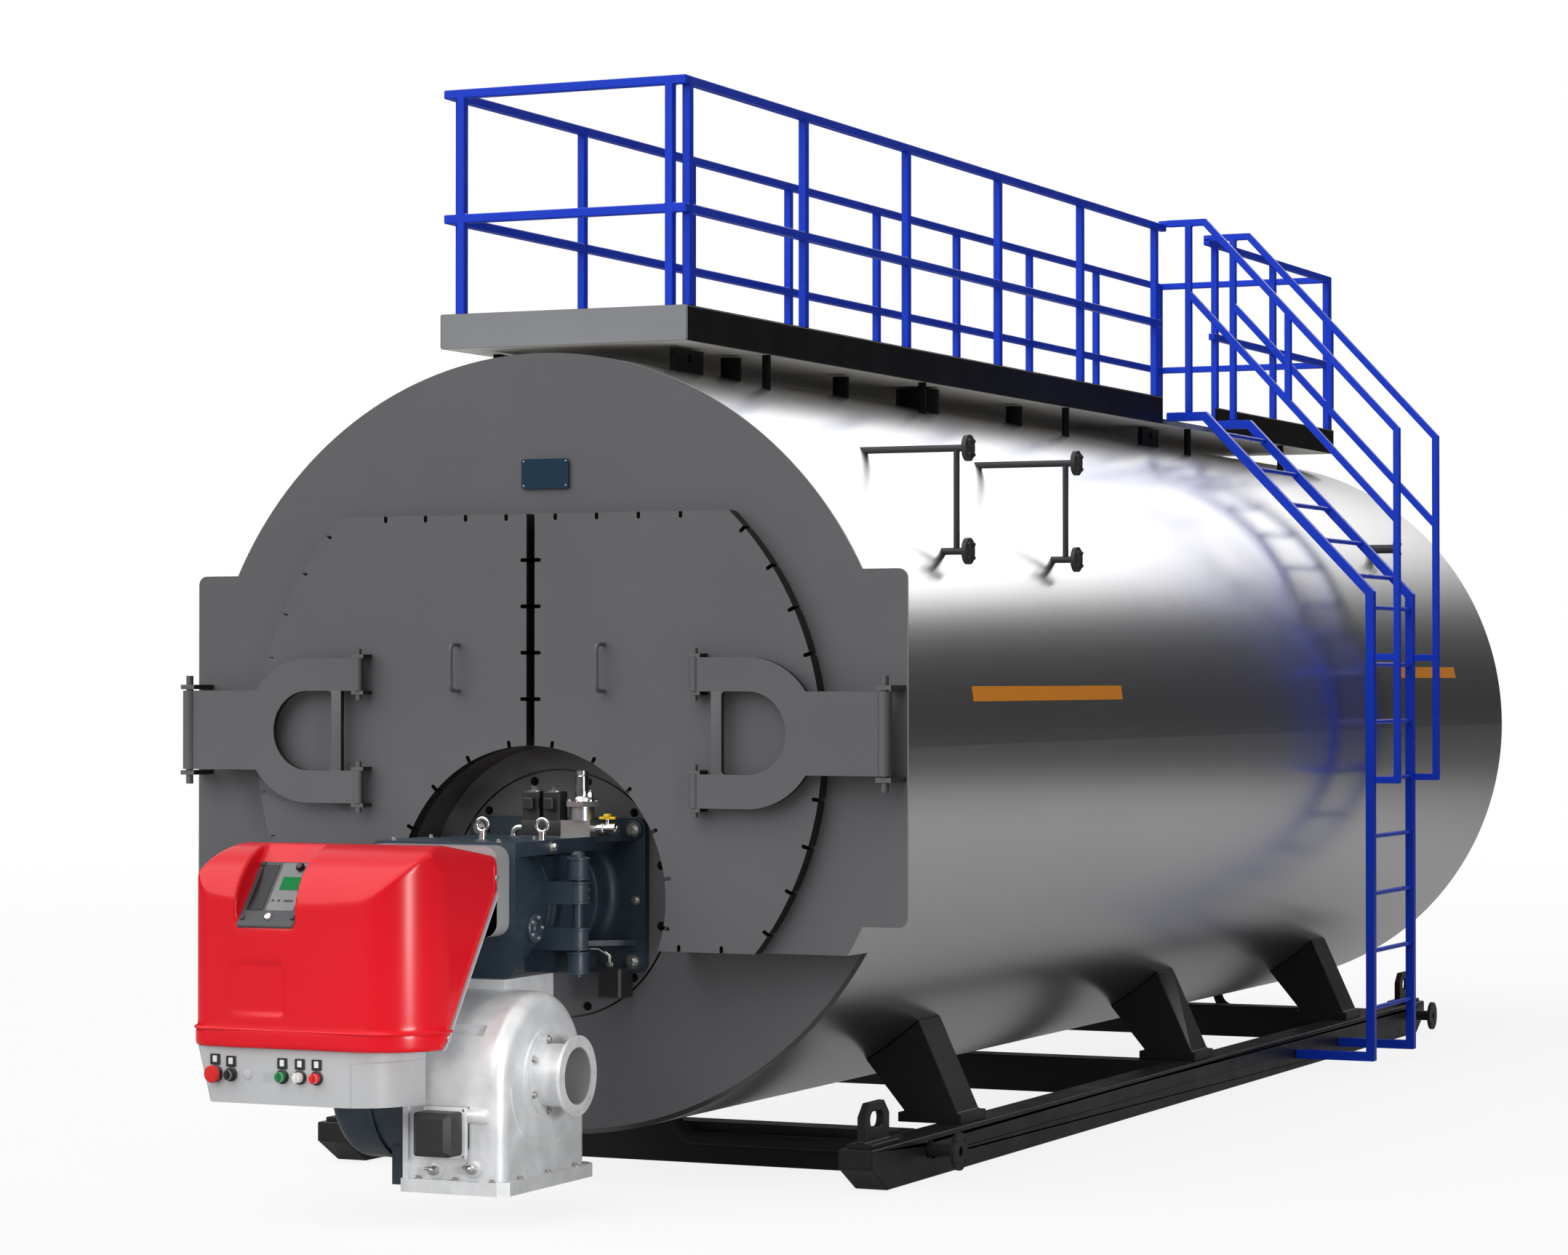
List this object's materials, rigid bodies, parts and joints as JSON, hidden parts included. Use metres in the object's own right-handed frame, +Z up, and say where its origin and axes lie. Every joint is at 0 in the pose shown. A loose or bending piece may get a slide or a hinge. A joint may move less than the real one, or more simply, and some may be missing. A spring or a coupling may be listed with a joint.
{
  "type": "industrial boiler",
  "caption": "Horizontal fire-tube boiler on a skid with hinged smoke-box doors, a swing-out burner, a railed top platform and a side stair.",
  "frame": {"origin": "on the floor below the boiler's axis, half-way along the skid, at the centre of the middle cross beam's underside", "axes": "+X to the right seen from the front, +Y back along the boiler, +Z up"},
  "size_m": [3.721, 11.76, 4.854],
  "materials": {
    "stainless": "polished stainless sheet",
    "grey_paint": "dark grey satin paint",
    "toe_grey": "mid grey satin paint",
    "black_paint": "black satin paint",
    "blue_paint": "blue gloss paint",
    "deck_steel": "galvanised deck plate",
    "bare_steel": "bare steel with heat tint",
    "casting": "dark blue-grey enamelled casting",
    "cast_silver": "silver painted casting",
    "cover_red": "red moulded cover",
    "panel_grey": "light grey sheet metal",
    "servo_black": "black plastic"
  },
  "bodies": {
    "boiler": {"skid_beams": "black_paint", "cross_beams": "black_paint", "saddles": "black_paint", "skid_lugs": "black_paint", "jacket": "stainless", "front_end_plate": "grey_paint", "burner_plate": "grey_paint", "furnace_tube": "bare_steel", "front_plate": "grey_paint", "smoke_box_walls": "bare_steel", "rear_end_plate": "grey_paint", "flue_outlet": "grey_paint", "hinge_brackets": "grey_paint", "platform_deck": "deck_steel", "toe_board_front": "toe_grey", "toe_boards": "black_paint", "platform_supports": "black_paint", "rail_front": "blue_paint", "rail_right": "blue_paint", "rail_right_rear": "blue_paint", "rail_left": "blue_paint", "rail_rear": "blue_paint", "stair_stringers": "blue_paint", "stair_rungs": "blue_paint", "handrail_near": "blue_paint", "handrail_far": "blue_paint", "level_gauges": "black_paint", "side_nozzle": "black_paint", "blowdown_pipes": "black_paint", "top_nozzles": "black_paint", "shell_lugs": "black_paint", "burner_flange": "casting", "blast_tube": "bare_steel", "pilot_train": "cast_silver", "pressure_switch": "servo_black"},
    "right_door": {"right_door": "grey_paint", "right_arm": "grey_paint", "right_handle": "grey_paint"},
    "left_door": {"left_door": "grey_paint", "left_arm": "grey_paint", "left_handle": "grey_paint"},
    "burner": {"burner_body": "casting", "control_panel": "panel_grey", "burner_cover": "cover_red", "fan_housing": "cast_silver", "air_intake": "cast_silver", "fan_scroll": "casting", "servo": "servo_black", "eye_bolts": "cast_silver"}
  },
  "joints": [
    {"name": "right_door_hinge", "type": "hinge", "parent": "boiler", "child": "right_door", "pos_m": [1.69, -4.98, 1.985], "axis": [0, 0, 1], "range_deg": [0, 110]},
    {"name": "left_door_hinge", "type": "hinge", "parent": "boiler", "child": "left_door", "pos_m": [-1.69, -4.98, 1.985], "axis": [0, 0, -1], "range_deg": [0, 110]},
    {"name": "burner_hinge", "type": "hinge", "parent": "boiler", "child": "burner", "pos_m": [0.4, -5.24, 1.2], "axis": [0, 0, 1], "range_deg": [0, 90]}
  ]
}
